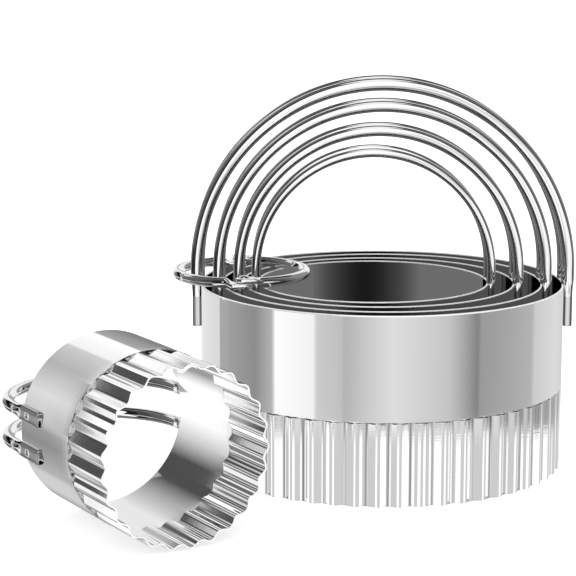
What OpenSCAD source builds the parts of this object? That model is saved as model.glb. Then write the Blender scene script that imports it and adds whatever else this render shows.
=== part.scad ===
// Set of five fluted round dough cutters with double wire handles.
// Four cutters stand nested in one another, their handles held together by a hinged
// binder ring that lies on the rims. The smallest cutter lies on its side in front.
// All sizes are in millimetres. The origin is on the table, under the middle of the set.

/* [Cutters] */
// Outer diameter of the largest cutter
cutter_1_d = 95; // [93:0.5:104]
// Outer diameter of the second cutter
cutter_2_d = 84; // [80:0.5:86]
// Outer diameter of the third cutter
cutter_3_d = 71.6; // [68:0.5:74]
// Outer diameter of the fourth cutter, the innermost of the nest
cutter_4_d = 60.6; // [55:0.5:63]
// Outer diameter of the smallest cutter, which lies on its side
cutter_5_d = 43.8; // [36:0.5:48]
// Height of the nested cutters, from cutting edge to rim
cutter_h = 48; // [40:0.5:60]
// Height of the smallest cutter
cutter_5_h = 43; // [38:0.5:48]
// Thickness of the steel strip
sheet_t = 0.5; // [0.35:0.05:0.7]
// Width over which the two ends of the strip lap at the seam
lap_w = 5; // [3:0.5:8]

/* [Flutes] */
// Height of the fluted band above the cutting edge of the nested cutters
flute_h = 21.4; // [12:0.2:28]
// Height of the fluted band of the smallest cutter
flute_5_h = 17; // [12:0.2:24]
// Distance from one flute to the next round the edge
flute_pitch = 5.5; // [4.5:0.1:7]
// Depth of a flute below the plain wall
flute_depth = 1.1; // [0.6:0.1:1.4]

/* [Handles] */
// Diameter of the largest cutter's handle wires
wire_1_d = 3.4; // [2.6:0.1:3.8]
// Diameter of the second cutter's handle wires
wire_2_d = 3; // [2.4:0.1:3.4]
// Diameter of the third cutter's handle wires
wire_3_d = 2.9; // [2.4:0.1:3.4]
// Diameter of the fourth cutter's handle wires
wire_4_d = 2.4; // [2:0.1:3]
// Diameter of the smallest cutter's handle wires
wire_5_d = 3; // [2.4:0.1:3.4]
// Distance between the two wires of one handle, centre to centre
wire_spacing = 9; // [7.5:0.1:11]
// Straight run of the nested cutters' wires above the rim, before they arch
leg_rise = 3.6; // [2.5:0.1:6]
// The same on the smallest cutter
leg_5_rise = 2; // [1.5:0.1:4]
// Length of the flattened ends below the rim
tab_len = 11; // [8:0.5:16]
// The same on the smallest cutter
tab_5_len = 12; // [8:0.5:16]

/* [Binder ring] */
// Outer diameter of the binder ring
binder_d = 36.2; // [35:0.1:40]
// Diameter of the ring's wire
binder_wire = 2.7; // [2:0.1:3]
// Width of the pressed eyes and tongues where the halves lap
eye_w = 4.4; // [3.6:0.1:5]
// Diameter of the rivet that the halves turn on
rivet_d = 1.5; // [1:0.1:2]
// Gap between the ring and the rims that it lies on
binder_rest = 0.75; // [0.2:0.05:1]

/* [Place of the lying cutter] */
// Turn of its axis from straight at the viewer
lay_yaw = 31.2; // [15:0.2:35]
// Tilt of its handle from level
lay_roll = -0.8; // [-5:0.2:5]
// How far its middle lies beyond the nest's left edge
lay_gap_x = 11.1; // [8:0.1:30]
// How far its middle lies beyond the nest's front edge
lay_gap_y = 14.8; // [12:0.2:30]

/* [Hidden] */

// Each cutter's diameter, height, height of flutes, wire, straight run and flattened end
cutter_1 = [cutter_1_d, cutter_h, flute_h, wire_1_d, leg_rise, tab_len];
cutter_2 = [cutter_2_d, cutter_h, flute_h, wire_2_d, leg_rise, tab_len];
cutter_3 = [cutter_3_d, cutter_h, flute_h, wire_3_d, leg_rise, tab_len];
cutter_4 = [cutter_4_d, cutter_h, flute_h, wire_4_d, leg_rise, tab_len];
cutter_5 = [cutter_5_d, cutter_5_h, flute_5_h, wire_5_d, leg_5_rise, tab_5_len];
function diameter(c) = c[0];
function height(c) = c[1];
function fluted(c) = c[2];
function wire(c) = c[3];
function rise(c) = c[4];
function tab_length(c) = c[5];

// How loosely each nested cutter stands, from the middle of the largest one
loose_2 = [0, 0];
loose_3 = [-1, 0];
loose_4 = [-2.3, 0.3];

// Overrun of every cut past the face that it opens
over = 1;
// Points that draw one flute
flute_points = 8;
// How far the ridges stand in from the plain wall, and the shoulder's edge from the flutes
ridge_set = 0.02;
shoulder_lip = 0.1;
// Share of the sheet's thickness by which the seam's two layers are melted into each other
lap_weld_share = 0.5;

// Pressed end of a handle wire: the squeeze starts above the rim and ends below it, and leaves
// these shares of the wire's diameter as thickness and width
press_start = 1;
press_end = 3;
tab_t_share = 0.69;
tab_w_share = 1.27;
tab_round = 0.1;
tab_bed = 0.15;
weld_d = 2.2;
weld_depth = 0.2;
weld_share = 0.55;

// Blend between a round wire and its pressed end: it reaches into the wire, a little smaller
blend_reach = 0.3;
blend_ease = 0.04;

// Laps, eyes and rivet of the binder ring
lap_gap = 0.1;
rivet_play = 0.08;
eye_gap = 0.3;
rivet_head_d = 3;
rivet_head_h = 0.6;
blend_len = 2.4;
latch_len = 4.2;
latch_gap = 0.2;
leg_clear = 0.9;
binder_y = 1.2;
hinge_turn = 3.5;
tongue_t = (binder_wire - lap_gap) / 2;

// Thickness and width of a flattened end
function tab_t(c) = tab_t_share * wire(c);
function tab_w(c) = tab_w_share * wire(c);

// Radius of a handle's arch, which is also how far its legs stand from the axis: the middle of
// each flattened end is bedded on the curved wall
function leg_x(c) = sqrt(pow(diameter(c) / 2, 2) - pow(wire_spacing / 2, 2)) + tab_t(c) / 2 - tab_bed;

// Place of the lying cutter's middle, seen from the nest's axis
lay_x = -(cutter_1_d / 2 + lay_gap_x);
lay_y = -(cutter_1_d / 2 + lay_gap_y);

// Reach of the whole set to each side of the nest's axis, and the nest's place by it
reach_left = lay_x - sin(lay_yaw) * (cutter_5_h / 2 + leg_5_rise) - leg_x(cutter_5) - wire_5_d / 2;
reach_right = leg_x(cutter_1) + wire_1_d / 2;
reach_front = lay_y - cos(lay_yaw) * cutter_5_h / 2 - sin(lay_yaw) * cutter_5_d / 2;
reach_back = cutter_1_d / 2;
nest_x = -(reach_left + reach_right) / 2;
nest_y = -(reach_front + reach_back) / 2;

// Binder ring: the left legs of the largest handle touch its bore but for leg_clear
binder_r = (binder_d - binder_wire) / 2;
leg_room = binder_d / 2 - binder_wire - wire_1_d / 2 - leg_clear;
binder_x = -leg_x(cutter_1) + sqrt(pow(leg_room, 2) - pow(wire_spacing / 2 + binder_y, 2));
hinge_angle = -90 + hinge_turn;
latch_angle = hinge_angle + 180;
eye_arc = (eye_w / 2 + eye_gap) / binder_r * 180 / PI;
blend_arc = blend_len / binder_r * 180 / PI;
latch_arc = latch_len / 2 / binder_r * 180 / PI;
latch_gap_arc = latch_gap / binder_r * 180 / PI;

$fn = 96;

// Flutes round a wall of outer diameter d
function flute_count(d) = round(PI * d / flute_pitch);

// Outer radius of the fluted wall at an angle: the ridges are flush with the plain wall
function flute_r(d, a) = d / 2 - ridge_set - flute_depth / 2 * (1 - cos(flute_count(d) * a));

// Closed outline of the fluted wall, moved in by inset
function flute_outline(d, inset) =
    let(n = flute_count(d) * flute_points)
    [for (i = [0 : n - 1]) let(a = 360 * i / n) (flute_r(d, a) - inset) * [cos(a), sin(a)]];

// One edge of the seam's lap in the fluted wall. Its ends lie midway between two points of
// the wall's outline.
function lap_edge(d, inset) =
    let(step = 360 / flute_count(d) / flute_points, n = ceil(lap_angle(d) / 2 / step))
    [for (i = [0.5 - n : n - 0.5]) let(a = -90 + i * step)
        (flute_r(d, a) - inset) * [cos(a), sin(a)]];

function lap_angle(d) = lap_w / (PI * d) * 360;

function reversed(list) = [for (i = [len(list) - 1 : -1 : 0]) list[i]];

// Section of the plain wall, with the shoulder that the flutes end against at its foot
module wall_section(c) {
    shoulder_t = flute_depth + sheet_t + shoulder_lip;
    outer = diameter(c) / 2;
    translate([outer - sheet_t, fluted(c)])
        square([sheet_t, height(c) - fluted(c)]);
    translate([outer - shoulder_t, fluted(c)])
        square([shoulder_t, sheet_t]);
}

// Inner end of the strip, which laps behind the outer end and reaches half into it
module seam_lap(c) {
    d = diameter(c);
    translate([0, 0, fluted(c)])
        rotate([0, 0, -90 - lap_angle(d) / 2])
            rotate_extrude(angle = lap_angle(d))
                translate([d / 2 - 2 * sheet_t, 0])
                    square([sheet_t + lap_weld_share * sheet_t, height(c) - fluted(c)]);
    linear_extrude(fluted(c) + lap_weld_share * sheet_t)
        polygon(concat(lap_edge(d, lap_weld_share * sheet_t), reversed(lap_edge(d, 2 * sheet_t))));
}

// One cutter's strip: plain wall, pressed shoulder, fluted wall and seam
module band(c) {
    color("gainsboro") {
        rotate_extrude()
            wall_section(c);
        linear_extrude(fluted(c) + sheet_t / 2)
            difference() {
                polygon(flute_outline(diameter(c), 0));
                polygon(flute_outline(diameter(c), sheet_t));
            }
        seam_lap(c);
    }
}

// Straight wedge that is w0 wide at the foot and w1 wide at the top
module wedge(w0, w1, depth, h) {
    rotate([90, 0, 0])
        translate([0, 0, -depth / 2])
            linear_extrude(depth)
                polygon([[-w0 / 2, 0], [w0 / 2, 0], [w1 / 2, h], [-w1 / 2, h]]);
}

// Flattened end of a wire with its weld mark, standing on the X axis at the wall of a cutter.
// The round wire is squeezed thinner and wider, and its sides stay rounded.
module pressed_end(c) {
    t = tab_t(c);
    w = tab_w(c);
    flat_h = tab_length(c) - press_end;
    squeeze_h = press_start + press_end + blend_reach;
    translate([leg_x(c), 0, height(c) - press_end]) {
        difference() {
            translate([0, 0, -flat_h])
                intersection() {
                    cylinder(r = w / 2 + tab_round, h = flat_h, $fn = 48);
                    translate([-t / 2, -w / 2, 0])
                        cube([t, w, flat_h]);
                }
            translate([t / 2 - weld_depth + weld_d / 2, 0, press_end - tab_length(c) * weld_share])
                sphere(d = weld_d, $fn = 32);
        }
        intersection() {
            cylinder(r1 = w / 2 + tab_round, r2 = wire(c) / 2 - blend_ease, h = squeeze_h, $fn = 48);
            wedge(t, wire(c) + tab_round, 2 * w, squeeze_h);
            rotate([0, 0, 90])
                wedge(w, wire(c) + tab_round, 2 * w, squeeze_h);
        }
    }
}

// One handle wire: an arch on two legs, whose flattened ends are seated on the wall.
// side is -1 for the front wire and 1 for the back wire.
module handle_wire(c, side) {
    color("silver")
        difference() {
            translate([0, side * wire_spacing / 2, 0]) {
                translate([0, 0, height(c) + rise(c)])
                    rotate([90, 0, 0])
                        rotate_extrude(angle = 180)
                            translate([leg_x(c), 0])
                                circle(d = wire(c), $fn = 48);
                for (x = [-1, 1])
                    translate([x * leg_x(c), 0, height(c) + press_start])
                        cylinder(d = wire(c), h = rise(c) - press_start, $fn = 48);
                pressed_end(c);
                mirror([1, 0, 0])
                    pressed_end(c);
            }
            cylinder(d = diameter(c), h = height(c));
        }
}

// Stands a nested cutter in its place
module nested(loose) {
    translate([nest_x + loose[0], nest_y + loose[1], 0])
        children();
}

// Lays the smallest cutter on its side
module laid_down() {
    translate([nest_x + lay_x, nest_y + lay_y, cutter_5_d / 2])
        rotate([0, 0, lay_yaw])
            rotate([-90, 0, 0])
                rotate([0, 0, -lay_roll])
                    translate([0, 0, -cutter_5_h / 2])
                        children();
}

// Places a piece of the binder ring, drawn round its own middle
module on_the_rims() {
    translate([nest_x + binder_x, nest_y + binder_y, cutter_h + binder_rest + binder_wire / 2])
        children();
}

// Moves a piece to a place on the ring's centre line
module at_ring(angle) {
    rotate([0, 0, angle])
        translate([binder_r, 0, 0])
            children();
}

// Round wire of the ring from angle a0 to a1
module ring_wire(a0, a1) {
    rotate([0, 0, a0])
        rotate_extrude(angle = a1 - a0)
            translate([binder_r, 0])
                circle(d = binder_wire, $fn = 40);
}

// Pressed half of the ring from angle a0 to a1: the upper half for level 1, the lower for -1
module ring_tongue(a0, a1, level) {
    rotate([0, 0, a0])
        rotate_extrude(angle = a1 - a0)
            translate([binder_r - eye_w / 2, level > 0 ? lap_gap / 2 : -binder_wire / 2])
                square([eye_w, tongue_t]);
}

// Blend from the round wire, at angle a0, to the pressed tongue, at angle a1.
// Its ends are a little smaller than what they run into, and reach inside it.
module ring_blend(a0, a1, level) {
    way = sign(a1 - a0);
    low = lap_gap / 2 + blend_ease;
    high = binder_wire / 2 - blend_ease;
    far = blend_len + blend_reach;
    at_ring(a0)
        rotate([0, 0, way * blend_arc / 2])
            intersection() {
                rotate([-way * 90, 0, 0])
                    translate([0, 0, -blend_reach])
                        cylinder(r1 = high, r2 = eye_w / 2 - blend_ease, h = far + blend_reach, $fn = 48);
                translate([-eye_w / 2, 0, 0])
                    rotate([90, 0, 90])
                        linear_extrude(eye_w)
                            scale([way, level])
                                polygon([[-blend_reach, high], [-blend_reach, -binder_wire],
                                         [blend_len - blend_reach, low], [far, low], [far, high]]);
            }
}

// Round eye at the hinge, drilled for the rivet
module hinge_eye(level) {
    at_ring(hinge_angle)
        translate([0, 0, level > 0 ? lap_gap / 2 : -binder_wire / 2])
            cylinder(d = eye_w, h = tongue_t);
}

module hinge_bore(play) {
    at_ring(hinge_angle)
        cylinder(d = rivet_d + 2 * play, h = binder_wire + 2 * over, center = true, $fn = 48);
}

// Half of the ring on the right: its pressed ends lie on top at the hinge and at the latch
module right_half() {
    color("gainsboro")
        difference() {
            union() {
                ring_wire(hinge_angle + eye_arc + blend_arc, latch_angle - latch_arc - blend_arc);
                ring_blend(hinge_angle + eye_arc + blend_arc, hinge_angle + eye_arc, 1);
                ring_tongue(hinge_angle, hinge_angle + eye_arc, 1);
                hinge_eye(1);
                ring_blend(latch_angle - latch_arc - blend_arc, latch_angle - latch_arc, 1);
                ring_tongue(latch_angle - latch_arc, latch_angle + latch_arc - latch_gap_arc, 1);
            }
            hinge_bore(rivet_play);
        }
}

// Half of the ring on the left: its pressed ends lie underneath
module left_half() {
    color("gainsboro")
        difference() {
            union() {
                ring_wire(latch_angle + latch_arc + blend_arc, hinge_angle + 360 - eye_arc - blend_arc);
                ring_blend(latch_angle + latch_arc + blend_arc, latch_angle + latch_arc, -1);
                ring_tongue(latch_angle - latch_arc + latch_gap_arc, latch_angle + latch_arc, -1);
                ring_blend(hinge_angle - eye_arc - blend_arc, hinge_angle - eye_arc, -1);
                ring_tongue(hinge_angle - eye_arc, hinge_angle, -1);
                hinge_eye(-1);
            }
            hinge_bore(0);
        }
}

// Rivet: shank through both eyes, with a domed head above and below
module rivet() {
    color("silver")
        at_ring(hinge_angle) {
            translate([0, 0, -binder_wire / 2])
                cylinder(d = rivet_d, h = binder_wire + lap_gap, $fn = 48);
            translate([0, 0, binder_wire / 2 + lap_gap])
                rivet_head();
            translate([0, 0, -binder_wire / 2])
                mirror([0, 0, 1])
                    rivet_head();
        }
}

// Domed head, flat side down
module rivet_head() {
    dome_r = (pow(rivet_head_d / 2, 2) + pow(rivet_head_h, 2)) / (2 * rivet_head_h);
    intersection() {
        translate([0, 0, rivet_head_h - dome_r])
            sphere(r = dome_r);
        cylinder(d = rivet_head_d, h = rivet_head_h + over);
    }
}

nested([0, 0]) band(cutter_1);  // cutter_1_band
nested([0, 0]) handle_wire(cutter_1, -1);  // cutter_1_front_wire
nested([0, 0]) handle_wire(cutter_1, 1);  // cutter_1_back_wire
nested(loose_2) band(cutter_2);  // cutter_2_band
nested(loose_2) handle_wire(cutter_2, -1);  // cutter_2_front_wire
nested(loose_2) handle_wire(cutter_2, 1);  // cutter_2_back_wire
nested(loose_3) band(cutter_3);  // cutter_3_band
nested(loose_3) handle_wire(cutter_3, -1);  // cutter_3_front_wire
nested(loose_3) handle_wire(cutter_3, 1);  // cutter_3_back_wire
nested(loose_4) band(cutter_4);  // cutter_4_band
nested(loose_4) handle_wire(cutter_4, -1);  // cutter_4_front_wire
nested(loose_4) handle_wire(cutter_4, 1);  // cutter_4_back_wire
laid_down() band(cutter_5);  // cutter_5_band
laid_down() handle_wire(cutter_5, -1);  // cutter_5_front_wire
laid_down() handle_wire(cutter_5, 1);  // cutter_5_back_wire
on_the_rims() left_half();  // binder_left_half
on_the_rims() right_half();  // binder_right_half
on_the_rims() rivet();  // binder_rivet
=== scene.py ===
"""Five fluted dough cutters with double wire handles, and the hinged ring that binds the nest.

Sizes are in millimetres while a piece is drawn round its own axis, and in metres once it is placed."""
from math import asin, atan2, ceil, cos, degrees, floor, hypot, pi, radians, sin, sqrt

import bmesh
import bpy
from mathutils import Matrix, Vector


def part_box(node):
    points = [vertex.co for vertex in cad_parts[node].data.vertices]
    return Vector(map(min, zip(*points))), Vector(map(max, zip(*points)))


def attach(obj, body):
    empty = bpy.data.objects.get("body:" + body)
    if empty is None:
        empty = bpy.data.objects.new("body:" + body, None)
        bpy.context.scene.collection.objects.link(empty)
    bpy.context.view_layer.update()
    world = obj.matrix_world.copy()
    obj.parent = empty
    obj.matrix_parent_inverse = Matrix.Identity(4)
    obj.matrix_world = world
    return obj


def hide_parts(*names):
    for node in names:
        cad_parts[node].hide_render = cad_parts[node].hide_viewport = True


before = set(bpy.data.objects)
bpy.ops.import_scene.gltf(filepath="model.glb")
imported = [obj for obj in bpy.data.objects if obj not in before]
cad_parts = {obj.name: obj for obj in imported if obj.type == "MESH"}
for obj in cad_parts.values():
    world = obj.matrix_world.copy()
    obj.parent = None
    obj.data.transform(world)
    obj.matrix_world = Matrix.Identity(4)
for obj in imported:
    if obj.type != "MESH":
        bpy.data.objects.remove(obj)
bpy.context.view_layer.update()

MM = 0.001

# Points closer than this are one
WELD_DIST = 0.001

# Faces that meet at a sharper angle than this, in degrees, keep a crisp edge between them
SHARP_ANGLE = 38

# Strip of the cutters
SHEET = 0.5
FLUTE_H = 21.4
SMALL_H = 43.0
SMALL_FLUTE_H = 17.0
FLUTE_PITCH = 5.5
FLUTE_DEPTH = 1.1
FLUTE_STEPS = 20
SHOULDER_H = 0.4
SHOULDER_STEPS = 6
# Painted shade along the shoulder and in the creases between the flutes, uneven from flute to flute
SHOULDER_SHADE = 0.6
CREASE_FROM = 0.955
LEAST_CREASE = 0.35
UNEVEN_TURN = 12.9
UNEVEN_SPREAD = 43.7
CUT_BEVEL = 0.08
KEEP = 0.1
RIM_STEPS = 8
LAP_W = 5.0

# Handle wires, from the largest cutter's to the smallest cutter's
WIRE_D = (3.4, 3.0, 2.9, 2.4, 3.0)
WIRE_SPACING = 9.0
LEG_RISE = 3.6
SMALL_LEG_RISE = 2.0
TAB_T_SHARE = 0.69
TAB_W_SHARE = 1.27
TAB_LEN = 11.0
SMALL_TAB_LEN = 12.0
TAB_BED = 0.15
TAB_CORNER = 0.8
# Painted shade on the tabs: its width along their long corners, and its depth on their end faces
CORNER_SHADE_W = 1.1
END_SHADE = 0.75
TAB_END_ROUND = 0.3
END_ROUND_STEPS = 4
# Where the painted shade on the tabs' long corners starts and how far it spreads, and the share of the tab
# on the wall's side that is painted dark
TAB_SIDE_FROM = 1.3
TAB_SIDE_OVER = 0.8
TAB_SEATED_SHARE = 0.3
PRESS_START = 1.0
PRESS_END = 3.0
PRESS_MARGIN = 0.02
SEAT = 0.02
WELD_AT_SHARE = 0.55
WELD_R = 0.75
WELD_DEPTH = 0.16
WELD_LIP = 0.04
WELD_STEEPNESS = 1.25
WELD_LIP_STEEPNESS = 3
WIRE_SIDES = 64
ARCH_STEPS = 112
LEG_STEP = 0.25

# Binder ring
BINDER_WIRE = 2.7
EYE_W = 4.4
LAP_GAP = 0.1
EYE_GAP = 0.3
BLEND_LEN = 2.4
LATCH_LEN = 4.2
LATCH_GAP = 0.2
HINGE_ANGLE = -86.5
RING_SIDES = 48
RING_STEPS = 220
TONGUE_T = (BINDER_WIRE - LAP_GAP) / 2
TONGUE_CORNER = 0.35
TIP_HALF_W = 0.3
TIP_CORNER_SHARE = 0.9
TONGUE_ROUND_STEPS = 3
TURN_ROUND_OFF = 0.001

# Rivet
RIVET_D = 1.5
HEAD_D = 3.0
HEAD_H = 0.6
DOME_STEPS = 8
RIVET_SIDES = 64

# Lying cutter
LAY_YAW = 31.2
LAY_ROLL = -0.8

# Studio round the set, as polished steel shows it: (degrees, how light steel looks there). Sideways, 0
# is towards the viewer and 90 to the right. Upwards, 0 is level.
DEGREES = 180 / pi
STEEL_SHADE = 0.88
UPPER_ROOM = [(-180, 0.6), (-105, 0.4), (-76, 0.35), (-66, 0.25), (-45, 0.3), (80, 0.35), (105, 0.5),
              (180, 0.6)]
LOWER_ROOM = [(-180, 0.5), (-150, 0.4), (-66, 0.35), (-57, 0.25), (45, 0.3), (96, 0.25), (120, 0.4),
              (166, 0.6), (170, 0.95), (180, 0.95)]
ROOM_SPLIT = (-14, -10)
TABLE = [(-180, 0.9), (-130, 0.5), (-60, 0.4), (-36, 0.45), (-14, 0.75), (14, 0.8), (45, 0.6), (140, 0.6),
         (180, 0.95)]

# White screen behind the camera: its tone by height, its edges, and the dark border beside it
SCREEN = [(-90, 1.0), (52, 1.0), (64, 0.9), (90, 1.0)]
SCREEN_LEFT = [(-90, 54), (-32, 54), (-24, 45), (-14, 32.4), (-6, 27), (8, 28.8), (30, 34.2), (40, 34.2),
               (54, 29.7), (64, 23.4), (90, 18)]
SCREEN_RIGHT = [(-90, 54), (-32, 54), (-18, 48.6), (-12, 63), (-6, 75.6), (0, 68.4), (8, 54), (20, 42.3),
                (50, 37.8), (64, 27), (90, 18)]
BORDER_W = 18
BORDER_SHADE = 0.85
SCREEN_SOFT = 1.5

# Far edge of the table, down from level by the turn from the viewer, and the dark line along it
TABLE_DEPTH = [(0, 27), (12, 35.1), (24, 43.2), (36, 47.7), (60, 49.5), (84, 37.8), (100, 32.4), (180, 27)]
TABLE_SOFT = (2, 5)
TABLE_LINE = (-4, 3.5, 1.5)
TABLE_LINE_ENDS = (95, 130)
TABLE_LINE_SHADE = 0.93

# Cards in the room: (from, to, softness) sideways, the same upwards, light, and how much it covers
LEDGE = ((-155, -60, 8), (-11, -3, 2), 0, 0.8)
UPPER_LEFT_CARD = ((-165, -118, 3), (26, 60, 4), 0.8, 1)

# The same, but sideways on both sides of the viewer
BACK_CARD = ((152, 190, 3), (-12, 40, 3), 0.95, 1)
BACK_SHADE = ((118, 190, 4), (42, 74, 3), 0, 0.9)

# White ceiling, and a dark beam that slants down to the right from its start
CEILING_FROM = (75, 79)
CEILING_LIGHT = 0.97
BEAM_START = (-155, 28)
BEAM_FALL = 0.85
BEAM_SPAN = (-154, -102, 2)
BEAM_W = (-8, 8, 1.5)
BEAM_SHADE = 0.97

# Row of cards that the nest's wall shows, and the row that its flutes show
BAND_HEIGHTS = (-17.3, -10.4, 0.2)
WALL_BAND = [(-180, 0.9), (-126, 0.85), (-124, 0.65), (-88, 0.55), (-74, 0.7), (-72, 1.0), (-45, 0.95),
             (-43, 0.8), (-27, 0.75), (-25, 0.7), (5, 0.87), (40, 0.77), (60, 0.5), (62, 0.6), (106, 0.7),
             (110, 0.8), (140, 0.85), (180, 0.75)]
FLUTE_BAND = [(-180, 0.8), (-126, 0.8), (-122, 1.05), (-94, 1.05), (-90, 0.8), (-40, 0.8), (-36, 1.05),
              (-8, 1.05), (-4, 0.8), (43, 0.8), (47, 1.05), (79, 1.05), (83, 0.8), (129, 0.8),
              (133, 1.05), (162, 1.05), (166, 0.8), (180, 0.8)]

# Rings of cards round the lying cutter's axis, by the turn from its right, through its top: behind its
# handle, for the outside and the inside of its wall and flutes, and before its mouth
HANDLE_RING = (26.7, 34.3, 0.3)
OUTSIDE_WALL = [(0, 0.5), (38, 0.65), (40, 1.0), (76, 0.95), (80, 0.8), (113, 0.7), (155, 0.87), (190, 0.77),
                (200, 0.6), (216, 0.55), (256, 0.7), (264, 0.8), (288, 0.8), (320, 0.55), (360, 0.5)]
OUTSIDE_FLUTES = [(0, 0.95), (58, 1.0), (61, 0.9), (76, 0.9), (79, 1.0), (119, 1.0), (121, 0.3), (190, 0.3),
                  (193, 0.95), (246, 0.95), (250, 0.6), (298, 0.6), (302, 0.9), (360, 0.95)]
INSIDE_WALL = [(0, 0.9), (52, 0.9), (90, 0.65), (114, 0.3), (146, 0.3), (172, 0.8), (198, 1.0), (250, 1.0),
               (276, 0.6), (360, 0.6)]
INSIDE_FLUTES = [(0, 0.95), (19, 0.95), (22, 0.5), (41, 0.5), (44, 1.0), (62, 1.0), (65, 0.4), (84, 0.4),
                 (87, 0.95), (105, 0.9), (108, 0.3), (126, 0.3), (129, 0.8), (148, 0.8), (151, 0.3),
                 (169, 0.3), (172, 0.85), (191, 0.85), (194, 0.45), (212, 0.45), (215, 0.95),
                 (234, 0.95), (237, 0.5), (256, 0.5), (259, 1.0), (279, 1.0), (282, 0.6), (300, 0.6),
                 (303, 0.9), (360, 0.9)]
OUTSIDE_SOFT = 0.15
INSIDE_SOFT = 0.1
WALL_SPLIT = (30.45, 30.55)
MOUTH_RING = (153, 168, 1.5)
BEFORE_MOUTH = [(0, 0.9), (50, 0.93), (62, 0.6), (95, 0.6), (102, 0.93), (125, 0.93), (135, 0.8), (172, 0.8),
                (180, 0.93), (240, 0.93), (248, 0.45), (292, 0.45), (300, 0.93), (360, 0.9)]

# The cards for the flutes start this far below the shoulder, in the walls' reflections
NEST_CARDS_BELOW = 3.3
SMALL_CARDS_BELOW = 1.5
BAND_SOFT = 0.1
VIEW_STEPS = 24

# The table inside the nest shows painted shade to the polished metal from here inwards
NEST_DARK_R = 46.0
NEST_R = 47.5
NEST_TABLE_GLOW = 0.13

# Painted shade: a dark card inside the nest and cards in the gaps between its cutters, by the share of their
# radius from one side to the other; and the grey card beside the lying cutter: two corners and a third
# beside
INNER_SHADE_GAP = 1.0
INNER_SHADE_TURN = 150
INNER_SHADE_DARKEST = -10
INNER_SHADE = [(-1, 0.1), (-0.5, 0.28), (0, 0.42), (1, 0.42)]
GAP = [(-1, 0.3), (-0.4, 0.28), (-0.2, 0.1), (0.05, 0.06), (0.35, 0.26), (1, 0.3)]
CARD_TOP = 47.5
INNER_SHADE_STEPS = 48
GAP_STEPS = 96
GREY_CARD = [(-95.6, -0.2, 0), (-95.6, -0.2, 36), (-88.9, 11.0, 0)]
GREY_CARD_TONE = 0.65

# Steel finishes: how light, how rough, and how fine their smears and drawing lines are each way
SHEET_STEEL = (0.88, 0.035, (0.05, 0.05, 0.05), (0.02, 0.02, 4.0))
WIRE_STEEL = (0.88, 0.03, (0.1, 0.1, 0.05), (3.0, 3.0, 0.05))
RING_STEEL = (0.88, 0.06, (0.2, 0.2, 0.1), (3.0, 3.0, 0.05))
RIVET_STEEL = (0.75, 0.15, (0.5, 0.5, 0.5), (2.0, 2.0, 4.0))
LINE_DEPTH = 0.00001
LINE_BUMP = 0.1
LINE_DETAIL = 3.0
LINE_ROUGH_SHARE = 0.8
SMEAR_DETAIL = 2.0
SMEAR_SPAN = (0.5, 0.75)
SMEAR_ROUGH_SHARE = 0.6
# How far the painted shade darkens the steel
SHADE_DEPTH = 0.8
WORN_TONE = 0.97
WORN_DULLNESS = 0.85
WORN_ROUGHNESS = 0.25

# Floor
FLOOR_HALF = 3
FLOOR_DROP = 0.0001
FLOOR_PAINT = 0.98
FLOOR_GLOW = 0.5

# Camera, seen from the nest's axis
CAMERA_DISTANCE = 550.0
CAMERA_RISE = 10.66
CAMERA_TURN = -0.09
CAMERA_AIM = (-24.62, 0.0, 45.93)
CAMERA_LENS = 130.57
CAMERA_CLIP = 0.01
SENSOR = 36.0


def ease(t):
    """Smooth step from 0 to 1."""
    t = min(max(t, 0.0), 1.0)
    return t * t * (3 - 2 * t)


def mix(a, b, t):
    return a + (b - a) * t


def new_verts(result):
    return [part for part in result["geom"] if isinstance(part, bmesh.types.BMVert)]


def loop_of(bm, points):
    """Closed loop of edges in the XZ plane through (radius, height) points."""
    verts = [bm.verts.new((r, 0, z)) for r, z in points]
    edges = [bm.edges.new(pair) for pair in zip(verts, verts[1:] + verts[:1])]
    return verts + edges


def own_layer(bm):
    """Vertex layer that holds a point's place on its own piece, for the finishes."""
    return bm.verts.layers.float_vector.get("own") or bm.verts.layers.float_vector.new("own")


def tone_layers(bm):
    """Vertex layers for the painted shade, in the creases and on the tabs, and for the bright, worn edges.
    """
    floats = bm.verts.layers.float
    return floats.get("shade") or floats.new("shade"), floats.get("worn") or floats.new("worn")


def rounded_point(share, half_a, half_b, corner):
    """Point on a rounded rectangle, at a share of its way round from the middle of its +a side."""
    flat_b = half_b - corner
    flat_a = half_a - corner
    arc = corner * pi / 2
    quarter = flat_b + arc + flat_a
    turns = share * 4
    quadrant = int(turns) % 4
    along = (turns - int(turns)) * quarter
    if quadrant % 2:
        along = quarter - along
    if along < flat_b:
        a, b = half_a, along
    elif along < flat_b + arc:
        angle = (along - flat_b) / corner
        a, b = flat_a + corner * cos(angle), flat_b + corner * sin(angle)
    else:
        a, b = flat_a - (along - flat_b - arc), half_b
    return (a if quadrant in (0, 3) else -a), (b if quadrant in (0, 1) else -b)


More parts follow.
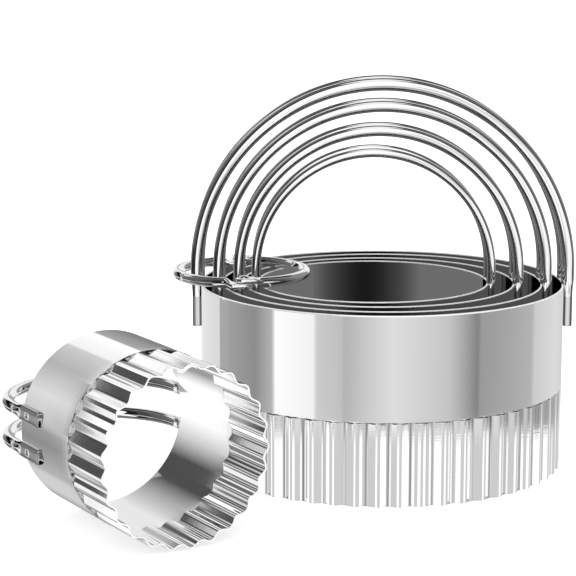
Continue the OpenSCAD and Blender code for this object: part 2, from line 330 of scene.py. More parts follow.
class Cutter:
    """Sizes of one cutter, drawn upright round its own axis, and its middle in the frame."""

    def __init__(self, number):
        low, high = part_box(f"cutter_{number}_band")
        size = (high - low) / MM
        self.body = f"cutter_{number}"
        self.middle = (high + low) / 2 / MM
        self.lies = number == 5
        self.d, self.h = (size.z, SMALL_H) if self.lies else (size.x, size.z)
        self.flute_h = SMALL_FLUTE_H if self.lies else FLUTE_H
        self.flutes = round(pi * self.d / FLUTE_PITCH)
        self.rise = SMALL_LEG_RISE if self.lies else LEG_RISE
        self.wire_d = WIRE_D[number - 1]
        self.tab_t = TAB_T_SHARE * self.wire_d
        self.tab_w = TAB_W_SHARE * self.wire_d
        self.tab_len = SMALL_TAB_LEN if self.lies else TAB_LEN
        self.leg_x = sqrt((self.d / 2) ** 2 - (WIRE_SPACING / 2) ** 2) + self.tab_t / 2 - TAB_BED

    def place(self):
        """Where the cutter stands or lies, from its own upright frame."""
        if not self.lies:
            return Matrix.Translation((self.middle.x, self.middle.y, 0))
        return (Matrix.Translation(self.middle) @ Matrix.Rotation(radians(LAY_YAW), 4, "Z")
                @ Matrix.Rotation(radians(-90), 4, "X") @ Matrix.Rotation(radians(-LAY_ROLL), 4, "Z")
                @ Matrix.Translation((0, 0, -self.h / 2)))


def press_flutes(bm, c):
    """Moves the wall in, flute by flute, below the shoulder."""
    for v in bm.verts:
        share = ease((c.flute_h - v.co.z) / SHOULDER_H)
        angle = atan2(v.co.y, v.co.x)
        r = hypot(v.co.x, v.co.y)
        inward = FLUTE_DEPTH / 2 * (1 - cos(c.flutes * angle)) * share
        v.co.x *= (r - inward) / r
        v.co.y *= (r - inward) / r


def mark_band(bm, c):
    """Notes each point's place, the painted shade in the creases between the flutes and along the shoulder,
    and the rubbed rim and cutting edge."""
    own = own_layer(bm)
    shade, worn = tone_layers(bm)
    for v in bm.verts:
        v[own] = v.co
        z = v.co.z
        turns = c.flutes * atan2(v.co.y, v.co.x) / (2 * pi)
        outside = hypot(v.co.x, v.co.y) > c.d / 2 - SHEET / 2
        valley = (1 - cos(2 * pi * turns) * (1 if outside else -1)) / 2
        number = floor(turns) if outside else round(turns)
        uneven = (sin(number * UNEVEN_TURN) * UNEVEN_SPREAD) % 1
        # Painted shade in the flute creases and along the shoulder
        if CUT_BEVEL / 2 < z < c.flute_h:
            v[shade] = ease((valley - CREASE_FROM) / (1 - CREASE_FROM)) * mix(LEAST_CREASE, 1, uneven)
        in_shoulder = ease(2 - abs(z - c.flute_h + SHOULDER_H / 2) / SHOULDER_H * 4)
        v[shade] = max(v[shade], in_shoulder * SHOULDER_SHADE)
        v[worn] = 1 if z < CUT_BEVEL / 2 or z > c.h - SHEET / 2 - WELD_DIST else 0


def wall_levels(flute_h, h):
    """Heights of the wall's rows of vertices, from the cutting edge to the rim. Rows close beside
    the shoulder and the rim keep the long walls between them straight in their reflections."""
    foot = flute_h - SHOULDER_H
    shoulder = [foot + SHOULDER_H * i / SHOULDER_STEPS for i in range(SHOULDER_STEPS + 1)]
    middle = (flute_h + h) / 2
    return [CUT_BEVEL, CUT_BEVEL + KEEP, foot / 2, foot - KEEP, *shoulder, flute_h + KEEP, middle,
            h - SHEET / 2 - KEEP]


def strip_section(outer, inner, flute_h, h):
    """Section of a wall between two radii: a sheared cutting edge and a rounded rim."""
    round_r = (outer - inner) / 2
    middle = (outer + inner) / 2
    rise = wall_levels(flute_h, h) + [h - round_r]
    rim = [(middle + round_r * cos(pi * i / RIM_STEPS), h - round_r + round_r * sin(pi * i / RIM_STEPS))
           for i in range(1, RIM_STEPS)]
    outside = [(outer - CUT_BEVEL, 0)] + [(outer, z) for z in rise]
    inside = [(inner, z) for z in reversed(rise)] + [(inner + CUT_BEVEL, 0)]
    return outside + rim + inside


def band_mesh(c):
    """One cutter's strip: a spun wall with pressed flutes, and its inner end lapped behind the outer."""
    bm = bmesh.new()
    pitch = 2 * pi / c.flutes
    section = loop_of(bm, strip_section(c.d / 2, c.d / 2 - SHEET, c.flute_h, c.h))
    bmesh.ops.spin(bm, geom=section, cent=(0, 0, 0), axis=(0, 0, 1), angle=pitch, steps=FLUTE_STEPS)
    flute = list(bm.verts) + list(bm.edges) + list(bm.faces)
    bmesh.ops.spin(bm, geom=flute, cent=(0, 0, 0), axis=(0, 0, 1), angle=2 * pi - pitch,
                   steps=c.flutes - 1, use_duplicate=True)
    bmesh.ops.remove_doubles(bm, verts=bm.verts, dist=WELD_DIST)
    wall = set(bm.verts)
    lap_steps = ceil(LAP_W / (pi * c.d) * c.flutes * FLUTE_STEPS)
    lap_angle = pitch / FLUTE_STEPS * lap_steps
    lap = loop_of(bm, strip_section(c.d / 2 - SHEET + SEAT, c.d / 2 - 2 * SHEET, c.flute_h, c.h - CUT_BEVEL))
    bmesh.ops.spin(bm, geom=lap, cent=(0, 0, 0), axis=(0, 0, 1), angle=lap_angle, steps=lap_steps)
    bmesh.ops.rotate(bm, verts=[v for v in bm.verts if v not in wall], cent=(0, 0, 0),
                     matrix=Matrix.Rotation(-pi / 2 - lap_angle / 2, 3, "Z"))
    bmesh.ops.holes_fill(bm, edges=[e for e in bm.edges if e.is_boundary])
    mark_band(bm, c)
    press_flutes(bm, c)
    return bm


def press_leg(v, c, side, shade):
    """Squeezes the end of a wire into its flat tab, seats it on the wall and marks its weld. Shade is
    painted along the long corners of the tab and on its side against the wall."""
    flat = ease((c.h + PRESS_START - v.co.z) / (PRESS_START + PRESS_END))
    if flat == 0:
        return
    end = 1 if v.co.x > 0 else -1
    y0 = side * WIRE_SPACING / 2
    p, q = v.co.x * end - c.leg_x, v.co.y - y0
    share = (atan2(q, p) / (2 * pi)) % 1
    flat_p, flat_q = rounded_point(share, c.tab_t / 2, c.tab_w / 2, TAB_CORNER)
    p, q = mix(p, flat_p, flat), mix(q, flat_q, flat)
    from_side = c.tab_w / 2 - abs(q)
    # Painted shade along the tab's long corners
    off_narrow = ease((p - c.tab_t / 2 + TAB_CORNER * TAB_SIDE_FROM) / (TAB_CORNER * TAB_SIDE_OVER))
    v[shade] = off_narrow * ease(1 - (from_side - TAB_CORNER / 2) / CORNER_SHADE_W) * flat
    # Painted shade on the side of the tab that lies against the wall
    if p < -c.tab_t * TAB_SEATED_SHARE:
        v[shade] = flat
    if p > c.tab_t / 4:
        weld = hypot(q, v.co.z - c.h + c.tab_len * WELD_AT_SHARE) / WELD_R
        p -= WELD_DEPTH * ease((1 - weld) * WELD_STEEPNESS)
        p += WELD_LIP * ease(1 - abs(weld - 1) * WELD_LIP_STEEPNESS)
    x, y = c.leg_x + p, y0 + q
    r = hypot(x, y)
    if v.co.z < c.h and r < c.d / 2:
        x, y = x * (c.d / 2 - SEAT) / r, y * (c.d / 2 - SEAT) / r
    v.co.x, v.co.y = x * end, y


def leg_drops(c):
    """Steps by which a leg is drawn down from its arch to the end of its tab."""
    round_part = [c.rise - PRESS_START - PRESS_MARGIN]
    fine = int((c.tab_len + PRESS_START) / LEG_STEP)
    return round_part + [(c.tab_len + PRESS_START + PRESS_MARGIN) / fine] * fine


def wire_mesh(c, side):
    """One handle wire: an arch on two legs with flattened, welded ends. side is -1 in front."""
    bm = bmesh.new()
    own = own_layer(bm)
    y0, spring = side * WIRE_SPACING / 2, c.h + c.rise
    bmesh.ops.create_circle(bm, segments=WIRE_SIDES, radius=c.wire_d / 2)
    bmesh.ops.translate(bm, verts=bm.verts, vec=(c.leg_x, y0, spring))
    bmesh.ops.spin(bm, geom=list(bm.verts) + list(bm.edges), cent=(0, y0, spring), axis=(0, -1, 0),
                   angle=pi, steps=ARCH_STEPS)
    ends = [e for e in bm.edges if e.is_boundary]
    for drop in leg_drops(c):
        grown = bmesh.ops.extrude_edge_only(bm, edges=ends)
        bmesh.ops.translate(bm, verts=new_verts(grown), vec=(0, 0, -drop))
        ends = [e for e in bm.edges if e.is_boundary]
    for v in bm.verts:
        if v.co.z > spring:
            out = hypot(v.co.x, v.co.z - spring) - c.leg_x
            along = atan2(v.co.z - spring, v.co.x) * c.leg_x
        else:
            out = abs(v.co.x) - c.leg_x
            along = v.co.z - spring if v.co.x > 0 else pi * c.leg_x + spring - v.co.z
        v[own] = (out, v.co.y - y0, along)
    shade = tone_layers(bm)[0]
    for v in bm.verts:
        press_leg(v, c, side, shade)
    # Painted shade on the end face of each tab
    for e in ends:
        for v in e.verts:
            v[shade] = END_SHADE
    bmesh.ops.holes_fill(bm, edges=ends)
    bmesh.ops.bevel(bm, geom=ends, offset=TAB_END_ROUND, segments=END_ROUND_STEPS, affect="EDGES",
                    profile=0.5, material=-1)
    return bm


def ring_mesh(radius, start, sweep, hinge_at_start, level):
    """Half of the binder ring, spun from a round section, with both its ends pressed to half height.
    level is 1 for a half whose ends lie on top, and -1 for one whose ends lie underneath."""
    bm = bmesh.new()
    own = own_layer(bm)
    bmesh.ops.create_circle(bm, segments=RING_SIDES, radius=BINDER_WIRE / 2)
    bmesh.ops.rotate(bm, verts=bm.verts, cent=(0, 0, 0), matrix=Matrix.Rotation(pi / 2, 3, "X"))
    bmesh.ops.translate(bm, verts=bm.verts, vec=(radius, 0, 0))
    bmesh.ops.spin(bm, geom=list(bm.verts) + list(bm.edges), cent=(0, 0, 0), axis=(0, 0, 1),
                   angle=sweep, steps=RING_STEPS)
    for v in bm.verts:
        angle = atan2(v.co.y, v.co.x)
        if angle < -TURN_ROUND_OFF:
            angle += 2 * pi
        out, up = hypot(v.co.x, v.co.y) - radius, v.co.z
        from_start, from_end = angle * radius, (sweep - angle) * radius
        to_hinge, to_latch = (from_start, from_end) if hinge_at_start else (from_end, from_start)
        v[own] = (out, up, from_start)
        eye_r = EYE_W / 2
        flat = max(ease(1 - (to_hinge - 2 * eye_r - EYE_GAP) / BLEND_LEN),
                   ease(1 - (to_latch - LATCH_LEN) / BLEND_LEN))
        share = (atan2(up, out) / (2 * pi)) % 1
        half_w = eye_r
        if to_hinge < eye_r:
            half_w = max(sqrt(max(eye_r ** 2 - (eye_r - to_hinge) ** 2, 0)), TIP_HALF_W)
        corner = min(TONGUE_CORNER, half_w * TIP_CORNER_SHARE)
        flat_out, flat_up = rounded_point(share, half_w, TONGUE_T / 2, corner)
        flat_up += level * (LAP_GAP + TONGUE_T) / 2
        out, up = mix(out, flat_out, flat), mix(up, flat_up, flat)
        scale = (radius + out) / hypot(v.co.x, v.co.y)
        v.co.x *= scale
        v.co.y *= scale
        v.co.z = up
    ends = [e for e in bm.edges if e.is_boundary]
    bmesh.ops.holes_fill(bm, edges=ends)
    bmesh.ops.bevel(bm, geom=ends, offset=TONGUE_CORNER / 2, segments=TONGUE_ROUND_STEPS, affect="EDGES",
                    profile=0.5, material=-1)
    bmesh.ops.rotate(bm, verts=bm.verts, cent=(0, 0, 0), matrix=Matrix.Rotation(start, 3, "Z"))
    return bm


def rivet_mesh():
    """Shank with a domed head at each end, spun from its section."""
    dome_r = ((HEAD_D / 2) ** 2 + HEAD_H ** 2) / (2 * HEAD_H)
    half_angle = asin(HEAD_D / 2 / dome_r)
    tilts = [half_angle * i / DOME_STEPS for i in range(DOME_STEPS + 1)]
    dome = [(dome_r * sin(tilt), HEAD_H - dome_r + dome_r * cos(tilt)) for tilt in tilts]
    top = BINDER_WIRE / 2 + LAP_GAP
    foot = BINDER_WIRE / 2
    upper = [(r, top + z) for r, z in dome] + [(RIVET_D / 2, top)]
    lower = [(RIVET_D / 2, -foot)] + [(r, -foot - z) for r, z in reversed(dome)]
    bm = bmesh.new()
    points = upper + lower
    verts = [bm.verts.new((r, 0, z)) for r, z in points]
    edges = [bm.edges.new(pair) for pair in zip(verts, verts[1:])]
    bmesh.ops.spin(bm, geom=verts + edges, cent=(0, 0, 0), axis=(0, 0, 1), angle=2 * pi,
                   steps=RIVET_SIDES, use_merge=True)
    own = own_layer(bm)
    for v in bm.verts:
        v[own] = v.co
    return bm


def add_piece(name, bm, place, body, finish, mirrored=False):
    """Puts a drawn mesh in its place and lets it stand for the CAD node of the same name."""
    bmesh.ops.remove_doubles(bm, verts=bm.verts, dist=WELD_DIST)
    bmesh.ops.recalc_face_normals(bm, faces=bm.faces)
    mesh = bpy.data.meshes.new(name)
    bm.to_mesh(mesh)
    bm.free()
    mesh.transform(place)
    mesh.shade_smooth()
    mesh.set_sharp_from_angle(angle=radians(SHARP_ANGLE))
    mesh.materials.append(finish)
    piece = bpy.data.objects.new(name + "_finished", mesh)
    bpy.context.scene.collection.objects.link(piece)
    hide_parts(name)
    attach(piece, body)
    piece.visible_glossy = mirrored
    return piece


class Value:
    """A shader socket whose sums and products add Math nodes."""

    def __init__(self, shader, socket):
        self.shader, self.socket = shader, socket

    def math(self, operation, *others):
        inputs = [self.socket] + [getattr(o, "socket", o) for o in others]
        return self.shader.value("ShaderNodeMath", {"operation": operation}, dict(enumerate(inputs)))

    def flipped(self, operation, other):
        inputs = {0: getattr(other, "socket", other), 1: self.socket}
        return self.shader.value("ShaderNodeMath", {"operation": operation}, inputs)

    def __add__(self, other):
        return self.math("ADD", other)

    __radd__ = __add__

    def __mul__(self, other):
        return self.math("MULTIPLY", other)

    __rmul__ = __mul__

    def __sub__(self, other):
        return self.math("SUBTRACT", other)

    def __rsub__(self, other):
        return self.flipped("SUBTRACT", other)

    def __truediv__(self, other):
        return self.math("DIVIDE", other)

    def step(self, low, high):
        """Smooth step of this value from 0 at low to 1 at high."""
        settings = {"interpolation_type": "SMOOTHSTEP"}
        return self.shader.value("ShaderNodeMapRange", settings,
                                 {"Value": self.socket, "From Min": low, "From Max": high})

    def within(self, low, high, soft):
        """1 between low and high, with soft edges."""
        return self.step(low - soft, low + soft) * (1 - self.step(high - soft, high + soft))

    def over(self, other, mask):
        """This value where mask is 1, and the other where it is 0."""
        return other + (self - other) * mask

    def whole_turn(self):
        """This angle in degrees, between 0 and 360."""
        return self + (1 - self.step(-0.01, 0.01)) * 360

    def ramp(self, stops):
        """Level at this value along stops of (value, level)."""
        low, high = stops[0][0], stops[-1][0]
        places = [((at - low) / (high - low), level) for at, level in stops]
        at = (self - low) / (high - low)
        return self.shader.value("ShaderNodeValToRGB", {"ramp_interpolation": "LINEAR", "stops": places},
                                 {"Fac": at})

    def angle(self, stops):
        """Angle in degrees at this value along stops of (value, angle)."""
        return self.ramp([(at, angle / 180) for at, angle in stops]) * 180


class Shader:
    """Adds nodes to a material or a world."""

    def __init__(self, owner):
        owner.use_nodes = True
        self.tree = owner.node_tree
        self.tree.nodes.clear()

    def node(self, kind, settings=None, inputs=None):
        made = self.tree.nodes.new(kind)
        for key, setting in (settings or {}).items():
            if key == "stops":
                for at, level in setting[1:-1]:
                    made.color_ramp.elements.new(at)
                for element, (at, level) in zip(made.color_ramp.elements, setting):
                    element.position = at
                    element.color = (level, level, level, 1)
            elif key == "ramp_interpolation":
                made.color_ramp.interpolation = setting
            else:
                setattr(made, key, setting)
        for key, source in (inputs or {}).items():
            source = getattr(source, "socket", source)
            if isinstance(source, bpy.types.NodeSocket):
                self.tree.links.new(source, made.inputs[key])
            else:
                made.inputs[key].default_value = source
        return made

    def value(self, kind, settings=None, inputs=None, output=0):
        return Value(self, self.node(kind, settings, inputs).outputs[output])


def steel(name, base, roughness, smear_scale, line_scale):
    """Polished steel: fine drawing lines along one way of the piece, and soft smears.
    Shade is painted darker in the creases and on the tabs' corners, and rubbed edges are bright and dull."""
    material = bpy.data.materials.new(name)
    shader = Shader(material)
    own = shader.node("ShaderNodeAttribute", {"attribute_name": "own"}).outputs["Vector"]
    shade = shader.value("ShaderNodeAttribute", {"attribute_name": "shade"}, output="Fac")
    worn = shader.value("ShaderNodeAttribute", {"attribute_name": "worn"}, output="Fac")
    lines_at = shader.node("ShaderNodeMapping", None, {"Vector": own, "Scale": line_scale}).outputs[0]
    lines = shader.value("ShaderNodeTexNoise", None, {
        "Vector": lines_at, "Scale": 1.0, "Detail": LINE_DETAIL})
    smear_at = shader.node("ShaderNodeMapping", None, {"Vector": own, "Scale": smear_scale}).outputs[0]
    smear = shader.value("ShaderNodeTexNoise", None, {
        "Vector": smear_at, "Scale": 1.0, "Detail": SMEAR_DETAIL})
    rough = roughness + (lines - 0.5) * (roughness * LINE_ROUGH_SHARE)
    rough = rough + smear.step(*SMEAR_SPAN) * (roughness * SMEAR_ROUGH_SHARE)
    bump = shader.node("ShaderNodeBump", None, {
        "Strength": LINE_BUMP, "Distance": LINE_DEPTH, "Height": lines})
    # Worn edges are lighter, and shade is painted darker where the shade layer is set
    grey = (base + worn * (WORN_TONE - base)) * (1 - shade * SHADE_DEPTH)
    surface = shader.node("ShaderNodeBsdfPrincipled", None, {
        "Base Color": grey, "Metallic": 1 - worn * WORN_DULLNESS, "Roughness": rough + worn * WORN_ROUGHNESS,
        "Normal": bump.outputs[0]})
    out = shader.node("ShaderNodeOutputMaterial")
    shader.tree.links.new(surface.outputs[0], out.inputs["Surface"])
    return material


def make_card(name, corners, finish, sweep=0.0, steps=1):
    """A studio card that only the polished metal shows: an edge moved sideways, or swept round the
    upright axis."""
    bm = bmesh.new()
    ends = [bm.verts.new(corner) for corner in corners[:2]]
    edge = bm.edges.new(ends)
    if sweep:
        bmesh.ops.spin(bm, geom=[edge, *ends], cent=(0, 0, 0), axis=(0, 0, 1), angle=sweep, steps=steps)
    else:
        grown = bmesh.ops.extrude_edge_only(bm, edges=[edge])
        bmesh.ops.translate(bm, verts=new_verts(grown), vec=Vector(corners[2]) - Vector(corners[0]))
    mesh = bpy.data.meshes.new(name)
    bm.to_mesh(mesh)
    bm.free()
    mesh.materials.append(finish)
    card = bpy.data.objects.new(name, mesh)
    bpy.context.scene.collection.objects.link(card)
    return card


def card_finish(name, light_at):
    """Glows for the polished metal alone. light_at gives its strength from its place."""
    material = bpy.data.materials.new(name)
    shader = Shader(material)
    path = shader.node("ShaderNodeLightPath")
    own = shader.node("ShaderNodeTexCoord").outputs["Object"]
    parts = shader.node("ShaderNodeSeparateXYZ", None, {0: own})
    glow = shader.node("ShaderNodeEmission", None, {
        "Color": (1, 1, 1, 1), "Strength": light_at(*(Value(shader, parts.outputs[i]) for i in range(3)))})
    clear = shader.node("ShaderNodeBsdfTransparent")
    both = shader.node("ShaderNodeMixShader", None, {
        0: path.outputs["Is Glossy Ray"], 1: clear.outputs[0], 2: glow.outputs[0]})
    out = shader.node("ShaderNodeOutputMaterial")
    shader.tree.links.new(both.outputs[0], out.inputs["Surface"])
    return material


def make_cards(nest):
    """Painted shade for the polished metal: a dark card inside the nest and one in each gap between its
    cutters; and the grey card beside the lying cutter."""
    nested = [Cutter(number) for number in range(1, 5)]
    inmost = nested[-1]
    # Dark card inside the nest: painted shade of its hollow, for the polished metal alone
    r = (inmost.d / 2 - SHEET - INNER_SHADE_GAP) * MM
    turn, darkest = radians(INNER_SHADE_TURN), radians(INNER_SHADE_DARKEST)
    inner_shade = card_finish("inner_shade_card", lambda x, y, z: (
        (y * cos(darkest) + x * sin(darkest)) / r).ramp(shown(INNER_SHADE)))
    piece = make_card("inner_shade_card", [(r * sin(-turn), -r * cos(turn), 0),
                                      (r * sin(-turn), -r * cos(turn), CARD_TOP * MM)],
                      inner_shade, sweep=2 * turn, steps=INNER_SHADE_STEPS)
    piece.location = (inmost.middle.x * MM, inmost.middle.y * MM, 0)
    # Dark card in each gap between the cutters: painted shade of the gap
    for outer, inner in zip(nested, nested[1:]):
        r = (outer.d + inner.d - 2 * SHEET) / 4 * MM
        name = f"gap_card_{outer.body}"
        dark = card_finish(name, lambda x, y, z: (x / r).ramp(shown(GAP)))
        piece = make_card(name, [(r, 0, 0), (r, 0, CARD_TOP * MM)], dark, 2 * pi, GAP_STEPS)
        middle = (outer.middle + inner.middle) / 2 * MM
        piece.location = (middle.x, middle.y, 0)
    grey = card_finish("grey_card", lambda x, y, z: strength(GREY_CARD_TONE))
    corners = [(Vector(corner) + Vector((nest.x, nest.y, 0))) * MM for corner in GREY_CARD]
    make_card("grey_card", corners, grey)


def make_floor(finish):
    bm = bmesh.new()
    bmesh.ops.create_grid(bm, x_segments=1, y_segments=1, size=FLOOR_HALF)
    mesh = bpy.data.meshes.new("floor")
    bm.to_mesh(mesh)
    bm.free()
    mesh.materials.append(finish)
    floor = bpy.data.objects.new("floor", mesh)
    floor.location.z = -FLOOR_DROP
    bpy.context.scene.collection.objects.link(floor)


def floor_finish(nest):
    """White table that keeps the shadow. Polished metal looks through it at the studio round about, but
    inside the nest it shows a dark glow, painted shade of the table there."""
    material = bpy.data.materials.new("white_table")
    shader = Shader(material)
    path = shader.node("ShaderNodeLightPath")
    own = shader.node("ShaderNodeTexCoord").outputs["Object"]
    parts = shader.node("ShaderNodeSeparateXYZ", None, {0: own})
    x, y = (Value(shader, parts.outputs[i]) for i in range(2))
    off_x, off_y = x - nest.x * MM, y - nest.y * MM
    open_table = (off_x * off_x + off_y * off_y).math("SQRT").step(NEST_DARK_R * MM, NEST_R * MM)
    paint = shader.node("ShaderNodeBsdfDiffuse", None, {"Color": (FLOOR_PAINT, FLOOR_PAINT, FLOOR_PAINT, 1)})
    glow = shader.node("ShaderNodeEmission", None, {"Color": (1, 1, 1, 1), "Strength": FLOOR_GLOW})
    lit = shader.node("ShaderNodeAddShader", None, {0: paint.outputs[0], 1: glow.outputs[0]})
    # Painted shade: the table inside the nest, as the polished metal shows it
    dark = shader.node("ShaderNodeEmission", None, {"Color": (1, 1, 1, 1), "Strength": NEST_TABLE_GLOW})
    clear = shader.node("ShaderNodeBsdfTransparent")
    mirrored = shader.node("ShaderNodeMixShader", None, {
        0: open_table, 1: dark.outputs[0], 2: clear.outputs[0]})
    both = shader.node("ShaderNodeMixShader", None, {
        0: path.outputs["Is Glossy Ray"], 1: lit.outputs[0], 2: mirrored.outputs[0]})
    out = shader.node("ShaderNodeOutputMaterial")
    shader.tree.links.new(both.outputs[0], out.inputs["Surface"])
    return material


def strength(tone):
    """Strength of light at which steel looks as light as the tone."""
    return ((tone + 0.055) / 1.055) ** 2.4 / STEEL_SHADE


def shown(tones):
    """Stops with strengths of light in place of tones."""
    return [(at, strength(tone)) for at, tone in tones]


def lay(light, card, sideways, upwards):
    """The light with a card laid over it."""
    sideways_span, upwards_span, card_light, cover = card
    mask = sideways.within(*sideways_span) * upwards.within(*upwards_span) * cover
    return light + (card_light - light) * mask


def lay_screen(sides, az, el):
    """The white screen behind the camera, with its dark borders."""
    from_left = az + el.angle(SCREEN_LEFT)
    from_right = el.angle(SCREEN_RIGHT) - az
    screen = from_left.step(-SCREEN_SOFT, SCREEN_SOFT) * from_right.step(-SCREEN_SOFT, SCREEN_SOFT)
    border = ((from_left + BORDER_W).step(-SCREEN_SOFT, SCREEN_SOFT)
              * (from_right + BORDER_W).step(-SCREEN_SOFT, SCREEN_SOFT))
    return sides * (1 - border * BORDER_SHADE), screen


def room(az, el):
    """The room round the set, as the handles and the ring show it."""
    far = az.math("ABSOLUTE")
    sides = az.ramp(shown(UPPER_ROOM)).over(az.ramp(shown(LOWER_ROOM)), el.step(*ROOM_SPLIT))
    sides = lay(sides, LEDGE, az, el)
    sides, screen = lay_screen(sides, az, el)
    sides = lay(sides, BACK_CARD, far, el)
    sides = lay(sides, UPPER_LEFT_CARD, az, el)
    sides = lay(sides, BACK_SHADE, far, el)
    sides = sides + (CEILING_LIGHT - sides) * el.step(*CEILING_FROM)
    beam_az, beam_el = BEAM_START
    off_beam = el - beam_el + (az - beam_az) * BEAM_FALL
    sides = sides * (1 - off_beam.within(*BEAM_W) * az.within(*BEAM_SPAN) * BEAM_SHADE)
    lit = el.ramp(shown(SCREEN)).over(sides, screen)
    below = far.angle(TABLE_DEPTH) * -1 - el
    lit = az.ramp(shown(TABLE)).over(lit, below.step(*TABLE_SOFT))
    line = below.within(*TABLE_LINE) * (1 - far.step(*TABLE_LINE_ENDS))
    return lit * (1 - line * TABLE_LINE_SHADE)


def wall_view(c, eye, right, up, side, below):
    """Where the camera looks by way of a cutter's wall, a little below its shoulder: stops of (turn
    round the cutter's axis from right towards up, angle off the axis), in degrees. side is 1 for the
    outside of the wall, and -1 for its inside."""
    place = c.place()
    turned = place.to_3x3()
    r = c.d / 2 if side > 0 else c.d / 2 - SHEET
    seen = []
    for i in range(2 * VIEW_STEPS):
        out = Vector((cos(pi * i / VIEW_STEPS), sin(pi * i / VIEW_STEPS), 0))
        point = place @ (out * r + Vector((0, 0, c.flute_h - below)))
        way = (point - eye).normalized()
        normal = turned @ out * side
        if way.dot(normal) < 0:
            mirrored = way.reflect(normal)
            turn = degrees(atan2(mirrored.dot(up), mirrored.dot(right))) % 360
            seen.append((turn, degrees(mirrored.angle(turned @ Vector((0, 0, 1))))))
    seen.sort()
    (first, first_angle), (last, last_angle) = seen[0], seen[-1]
    return [(last - 360, last_angle), *seen, (first + 360, first_angle)]


def nest_band(az, el, eye):
    """The rows of cards that the nest's wall and flutes show."""
    view = wall_view(Cutter(1), eye, Vector((0, -1, 0)), Vector((1, 0, 0)), 1, NEST_CARDS_BELOW)
    flutes_from = 90 - az.whole_turn().angle(view)
    above = (el - flutes_from).step(-BAND_SOFT, BAND_SOFT)
    return az.ramp(shown(WALL_BAND)).over(az.ramp(shown(FLUTE_BAND)), above)


def handle_rings(turn, off_axis, eye):
    """The rings of cards behind the lying cutter's handle: its outer wall shows the ones nearest to its
    axis, then its outer flutes, its inner wall and its inner flutes."""
    small, up = Cutter(5), Vector((0, 0, 1))
    right = Vector((cos(radians(LAY_YAW)), sin(radians(LAY_YAW)), 0))
    outer = turn.angle(wall_view(small, eye, right, up, 1, SMALL_CARDS_BELOW))
    inner = turn.angle(wall_view(small, eye, right, up, -1, SMALL_CARDS_BELOW))
    ring = turn.ramp(shown(OUTSIDE_WALL))
    ring = turn.ramp(shown(OUTSIDE_FLUTES)).over(ring, (off_axis - outer).step(-OUTSIDE_SOFT, OUTSIDE_SOFT))
    ring = turn.ramp(shown(INSIDE_WALL)).over(ring, off_axis.step(*WALL_SPLIT))
    return turn.ramp(shown(INSIDE_FLUTES)).over(ring, (off_axis - inner).step(-INSIDE_SOFT, INSIDE_SOFT))


def make_world(eye):
    """White for the camera, and a studio of pale and dark cards for the polished metal. eye is the
    camera's place in millimetres."""
    world = bpy.data.worlds.new("studio")
    bpy.context.scene.world = world
    shader = Shader(world)
    path = shader.node("ShaderNodeLightPath")
    way = shader.node("ShaderNodeTexCoord").outputs["Generated"]
    parts = shader.node("ShaderNodeSeparateXYZ", None, {0: way})
    x, y, z = (Value(shader, parts.outputs[i]) for i in range(3))
    az = x.math("ARCTAN2", y * -1) * DEGREES
    el = z.math("ARCSINE") * DEGREES
    yaw = radians(LAY_YAW)
    off_axis = (y * cos(yaw) - x * sin(yaw)).math("ARCCOSINE") * DEGREES
    turn = (z.math("ARCTAN2", x * cos(yaw) + y * sin(yaw)) * DEGREES).whole_turn()
    light = turn.ramp(shown(BEFORE_MOUTH)).over(room(az, el), off_axis.within(*MOUTH_RING))
    light = nest_band(az, el, eye).over(light, el.within(*BAND_HEIGHTS))
    light = handle_rings(turn, off_axis, eye).over(light, off_axis.within(*HANDLE_RING))
    studio = shader.node("ShaderNodeBackground", None, {"Color": light, "Strength": 1.0})
    white = shader.node("ShaderNodeBackground", None, {"Color": (1, 1, 1, 1), "Strength": 1.0})
    both = shader.node("ShaderNodeMixShader", None, {
        0: path.outputs["Is Glossy Ray"], 1: white.outputs[0], 2: studio.outputs[0]})
    out = shader.node("ShaderNodeOutputWorld")
    shader.tree.links.new(both.outputs[0], out.inputs["Surface"])


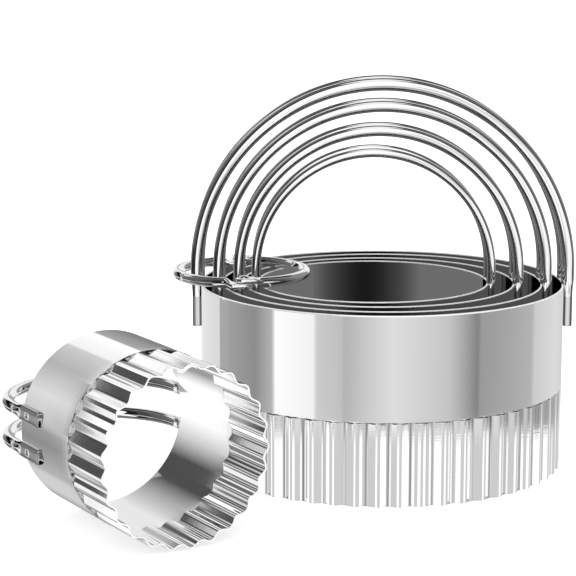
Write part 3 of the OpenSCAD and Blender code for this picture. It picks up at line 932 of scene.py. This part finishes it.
def make_camera(nest):
    """The camera, aimed from its distance at a point beside the nest's axis."""
    turn, rise = radians(CAMERA_TURN), radians(CAMERA_RISE)
    ahead = Vector((sin(turn) * cos(rise), cos(turn) * cos(rise), -sin(rise)))
    data = bpy.data.cameras.new("camera")
    data.lens = CAMERA_LENS
    data.sensor_width = SENSOR
    data.clip_start = CAMERA_CLIP
    camera = bpy.data.objects.new("camera", data)
    aim = (Vector(CAMERA_AIM) + Vector((nest.x, nest.y, 0))) * MM
    camera.location = aim - ahead * CAMERA_DISTANCE * MM
    camera.rotation_euler = ahead.to_track_quat("-Z", "Y").to_euler()
    bpy.context.scene.collection.objects.link(camera)
    bpy.context.scene.camera = camera
    return camera


def build_cutters(sheet, wire):
    for number in range(1, 6):
        c = Cutter(number)
        place = Matrix.Scale(MM, 4) @ c.place()
        add_piece(f"{c.body}_band", band_mesh(c), place, c.body, sheet,
                  mirrored=not c.lies)
        for side, word in ((-1, "front"), (1, "back")):
            add_piece(f"{c.body}_{word}_wire", wire_mesh(c, side), place, c.body,
                      wire)


def build_binder(ring, rivet):
    """The two halves and the rivet, from where the frame has them."""
    left_low, left_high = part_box("binder_left_half")
    right_low, right_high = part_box("binder_right_half")
    outer_d = (right_high.x - left_low.x) / MM
    radius = (outer_d - BINDER_WIRE) / 2
    rivet_low, rivet_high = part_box("binder_rivet")
    hinge = (rivet_low + rivet_high) / 2 / MM
    angle = radians(HINGE_ANGLE)
    rivet_drop = LAP_GAP / 2
    middle = Vector((hinge.x - radius * cos(angle), hinge.y - radius * sin(angle), hinge.z - rivet_drop))
    place = Matrix.Scale(MM, 4) @ Matrix.Translation(middle)
    eye, latch = EYE_W / 2 / radius, LATCH_LEN / 2 / radius
    gap = LATCH_GAP / radius
    right = ring_mesh(radius, angle - eye, pi + eye + latch - gap, True, 1)
    left = ring_mesh(radius, angle + pi - latch + gap, pi + eye + latch - gap, False, -1)
    add_piece("binder_right_half", right, place, "binder_right", ring)
    add_piece("binder_left_half", left, place, "binder_left", ring)
    at_hinge = place @ Matrix.Translation((radius * cos(angle), radius * sin(angle), 0))
    add_piece("binder_rivet", rivet_mesh(), at_hinge, "binder_left", rivet)


nest_middle = Cutter(1).middle
camera = make_camera(nest_middle)
make_world(camera.location / MM)
make_floor(floor_finish(nest_middle))
make_cards(nest_middle)
build_cutters(steel("sheet", *SHEET_STEEL), steel("wire", *WIRE_STEEL))
build_binder(steel("ring", *RING_STEEL), steel("rivet", *RIVET_STEEL))

bpy.context.scene.view_settings.view_transform = "Standard"
